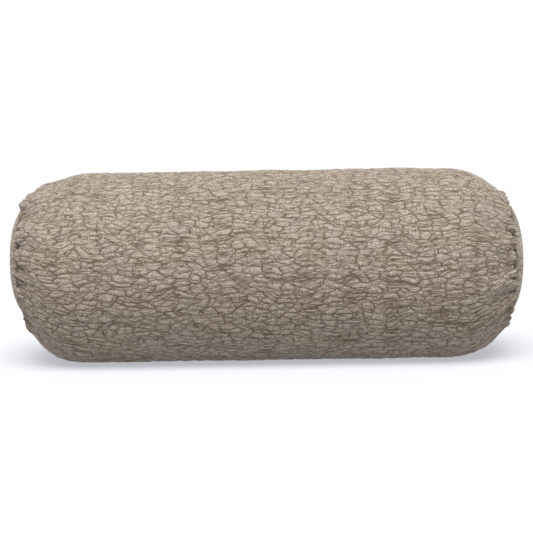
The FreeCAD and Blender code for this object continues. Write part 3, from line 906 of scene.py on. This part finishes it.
def plain_cotton():
    """Undyed cotton: a fine even weave, a little yellower in patches."""
    material, tree = new_material("undyed cotton")
    place = add(tree, "ShaderNodeUVMap", uv_map=UV_CLOTH)
    warp, weft = ribs(tree, place, (1, 0, 0), COTTON_YARN), ribs(tree, place, (0, 1, 0), COTTON_YARN)
    weave = add(tree, MATH, (warp, weft), operation="MULTIPLY")
    patch = add(tree, RANGE, (patches(tree, place, (50 * MM, 50 * MM), 3), 0.3, 0.7), **SMOOTH)
    cloth = add(tree, MIX, {0: patch, 6: linear("#efe8da"), 7: linear("#e6dccb")}, **COLOURS)
    colour = add(tree, MIX, {0: weave, 6: linear("#cfc5b3"), 7: cloth}, **COLOURS)
    finished(tree, colour, weave, 0.15 * MM, Roughness=0.9, Specular_IOR_Level=0.2, Sheen_Weight=0.15)
    return material


# %% Fibre, for the stuffing
def loose_fibre():
    """White polyester fibre: soft tufts with fine strands across them."""
    material, tree = new_material("polyester fibre")
    place = add(tree, "ShaderNodeUVMap", uv_map=UV_CLOTH)
    rolled = pushed(tree, place, (20 * MM, 20 * MM), 16 * MM)
    tufts = patches(tree, rolled, (14 * MM, 9 * MM), 5)
    combed = pushed(tree, place, (12 * MM, 12 * MM), 14 * MM)
    strands = patches(tree, combed, (9 * MM, 0.9 * MM), 2)
    bright = add(tree, RANGE, (tufts, 0.3, 0.65), **SMOOTH)
    colour = add(tree, MIX, {0: bright, 6: linear("#d9dcde"), 7: linear("#f7f8f8")}, **COLOURS)
    height = add(tree, MATH, (strands, 0.4, tufts), operation="MULTIPLY_ADD")
    finished(tree, colour, height, 3 * MM, Roughness=1.0, Specular_IOR_Level=0.1, Sheen_Weight=0.4)
    return material


# %% Woven tape, for both sides of the zip
TAPE_RIB = 1.3 * MM                   # about twice the real spacing, so that the herringbone shows


def woven_tape():
    """Taupe polyester tape, woven in a herringbone that turns at its middle."""
    material, tree = new_material("woven zip tape")
    place = add(tree, "ShaderNodeUVMap", uv_map=UV_CLOTH)
    parts = add(tree, "ShaderNodeSeparateXYZ", (place,)).outputs
    from_zip = add(tree, MATH, (parts["Y"],), operation="ABSOLUTE")
    off_middle = add(tree, MATH, (from_zip, sum(TAPE_EDGES) / 2), operation="SUBTRACT")
    off_middle = add(tree, MATH, (off_middle,), operation="ABSOLUTE")
    slanted = add(tree, "ShaderNodeCombineXYZ", (parts["X"], off_middle))
    rib = ribs(tree, slanted, (0.7, 0.7, 0), TAPE_RIB)
    colour = add(tree, MIX, {0: rib, 6: linear("#5c5046"), 7: linear("#8c7d6e")}, **COLOURS)
    finished(tree, colour, rib, 0.2 * MM, Roughness=0.7, Specular_IOR_Level=0.3, Sheen_Weight=0.15)
    return material


# %% Thread, nylon and enamel
def spun_thread(name, dark, pale):
    """Spun sewing thread: two plies twisted together, with loose fibres."""
    material, tree = new_material(name)
    place = add(tree, "ShaderNodeTexCoord").outputs["Object"]
    twist = ribs(tree, place, (0.62, 0.55, 0.56), 0.6 * MM)
    fuzz = add(tree, NOISE, {"Vector": place, "Scale": 1 / (0.5 * MM), "Detail": 2})
    share = add(tree, MATH, (twist, 0.7), operation="MULTIPLY")
    share = add(tree, MATH, (fuzz, 0.3, share), operation="MULTIPLY_ADD")
    colour = add(tree, MIX, {0: share, 6: dark, 7: pale}, **COLOURS)
    finished(tree, colour, twist, 0.12 * MM, Roughness=0.75, Specular_IOR_Level=0.3, Sheen_Weight=0.2)
    return material


def moulded_nylon():
    """Taupe nylon: a smooth, waxy plastic with faint flow marks."""
    material, tree = new_material("taupe nylon")
    place = add(tree, "ShaderNodeTexCoord").outputs["Object"]
    flow = add(tree, NOISE, {"Vector": place, "Scale": 1 / (2.5 * MM), "Detail": 3})
    colour = add(tree, MIX, {0: flow, 6: linear("#6d6054"), 7: linear("#7c6e61")}, **COLOURS)
    rough = add(tree, RANGE, (flow, 0.3, 0.7, 0.32, 0.45), **SMOOTH)
    finished(tree, colour, flow, 0.03 * MM, Roughness=rough)
    return material


def baked_enamel():
    """Taupe enamel baked on zinc: glossy, with the faint ripple of a dipped coat."""
    material, tree = new_material("taupe enamel on zinc")
    place = add(tree, "ShaderNodeTexCoord").outputs["Object"]
    ripple = add(tree, NOISE, {"Vector": place, "Scale": 1 / (3 * MM), "Detail": 2})
    grain = add(tree, NOISE, {"Vector": place, "Scale": 1 / (0.4 * MM), "Detail": 2})
    colour = add(tree, MIX, {0: ripple, 6: linear("#63574c"), 7: linear("#6f6257")}, **COLOURS)
    rough = add(tree, RANGE, (grain, 0.3, 0.7, 0.24, 0.36), **SMOOTH)
    finished(tree, colour, ripple, 0.05 * MM, Roughness=rough, Coat_Weight=0.3, Coat_Roughness=0.12)
    return material


cotton = plain_cotton()
wadding = loose_fibre()
tape_weave = woven_tape()
cover_thread = spun_thread("taupe sewing thread", linear("#5f5246"), linear("#9a8b7b"))
insert_thread = spun_thread("undyed sewing thread", linear("#bdb3a2"), linear("#efe8da"))
nylon = moulded_nylon()
enamel = baked_enamel()
print(len(bpy.data.materials), "materials")

# %% [markdown]
# ## Put the pieces together
#
# Every piece is hung on the moving body it rides on and given its finish, and the CAD piece that it
# stands for is hidden. The CAD pieces that are still shown, the threads, the teeth and the stops, are
# already as fine as the real ones, so they only get their material.


# %% Dress the pieces
def dress(piece, material, body, node):
    """Gives a piece its finish and the body it rides on, and hides the CAD piece that it stands for."""
    piece.data.materials.clear()
    piece.data.materials.append(material)
    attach(piece, body)
    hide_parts(node)


dress(cover, chenille, "cushion", "cover_body")
dress(casing, cotton, "cushion", "insert_casing_body")
dress(fill, wadding, "cushion", "fibre_fill")
dress(slider, enamel, "zip_slider", "zip_slider")
dress(pull, enamel, "zip_pull", "zip_pull")
for side in ("left", "right"):
    dress(panels[side], chenille, "cushion", "cover_end_panel_" + side)
    dress(casing_ends[side], cotton, "cushion", "insert_casing_end_" + side)
for node, piece in thread_pieces.items():
    if node.startswith("insert"):
        dress(piece, insert_thread, "cushion", node)
    else:
        dress(piece, cover_thread, "cushion", node)
for side, piece in tapes.items():
    dress(piece, tape_weave, "cushion", "zip_tape_" + side)

# %% Give the CAD pieces that are still shown their materials
KEPT = {"zip_teeth": nylon, "zip_top": enamel, "zip_bottom": enamel, "insert_": insert_thread}
kept = [node for node in frame["nodes"].values() if not node.hide_render]
for node in kept:
    found = [material for start, material in KEPT.items() if node.name.startswith(start)]
    node.data.materials.clear()
    node.data.materials.append(found[0] if found else cover_thread)
print(len(kept), "CAD pieces kept:", ", ".join(sorted(node.name for node in kept)))

# %% [markdown]
# ## Floor, light and camera
#
# The pillow lies on a white light table, which glows a little, so its underside is never black.
# One very soft light stands high in front of it and the white room does the rest. That gives the
# top a bright, even tone and lets the lower half fall off slowly, which shows that it is round.

# %% The light table
bpy.ops.object.select_all(action="DESELECT")
bpy.ops.mesh.primitive_plane_add(size=60, location=(0, 0, 0))
table = bpy.context.active_object
table.name = "light_table"
TABLE_GLOW = 0.47
material, tree = new_material("white light table")
place = add(tree, "ShaderNodeTexCoord").outputs["Object"]
specks = add(tree, NOISE, {"Vector": place, "Scale": 40})
white = add(tree, MIX, {0: specks, 6: linear("#959595"), 7: linear("#979797")}, **COLOURS)
surface = add(tree, "ShaderNodeBsdfPrincipled", {
    "Base Color": white, "Roughness": 0.9, "Specular IOR Level": 0.1, "Emission Color": linear("#f4f6ff"),
    "Emission Strength": TABLE_GLOW,
})
add(tree, "ShaderNodeOutputMaterial", {"Surface": surface})
table.data.materials.append(material)

# %% The room and the soft light
ROOM_LIGHT = 0.56
SUN_POWER = 4.9
SUN_HEIGHT = math.radians(62)
world = bpy.data.worlds.new("white room")
scene.world = world
world.use_nodes = True
room = world.node_tree.nodes["Background"]
seen = add(world.node_tree, "ShaderNodeLightPath").outputs["Is Camera Ray"]
strength = add(world.node_tree, RANGE, (seen, 0, 1, ROOM_LIGHT, 1))
room.inputs["Color"].default_value = (1, 1, 1, 1)
world.node_tree.links.new(strength.outputs[0], room.inputs["Strength"])

light = bpy.data.lights.new("soft light", "SUN")
light.energy = SUN_POWER
light.angle = math.radians(40)
lamp = bpy.data.objects.new("soft light", light)
scene.collection.objects.link(lamp)
shine = Vector((0, math.cos(SUN_HEIGHT), -math.sin(SUN_HEIGHT)))
lamp.rotation_euler = shine.to_track_quat("-Z", "Y").to_euler()

# %% The camera
CAMERA_DISTANCE = 1.778
CAMERA_YAW = math.radians(0.8)
CAMERA_ELEVATION = math.radians(6)
CAMERA_ROLL = math.radians(-1)
aim = Vector((0, 0, AXIS_HEIGHT))
flat_reach = math.cos(CAMERA_ELEVATION)
away = Vector((
    math.sin(CAMERA_YAW) * flat_reach, -math.cos(CAMERA_YAW) * flat_reach, math.sin(CAMERA_ELEVATION)))
camera = bpy.data.objects.new("camera", bpy.data.cameras.new("camera"))
scene.collection.objects.link(camera)
camera.location = aim + away * CAMERA_DISTANCE
camera.rotation_euler = ((-away).to_track_quat("-Z", "Y") @ Quaternion((0, 0, 1), CAMERA_ROLL)).to_euler()
camera.data.lens = 100
scene.camera = camera
scene.view_settings.view_transform = "Standard"
print("camera at", [round(v, 3) for v in camera.location])
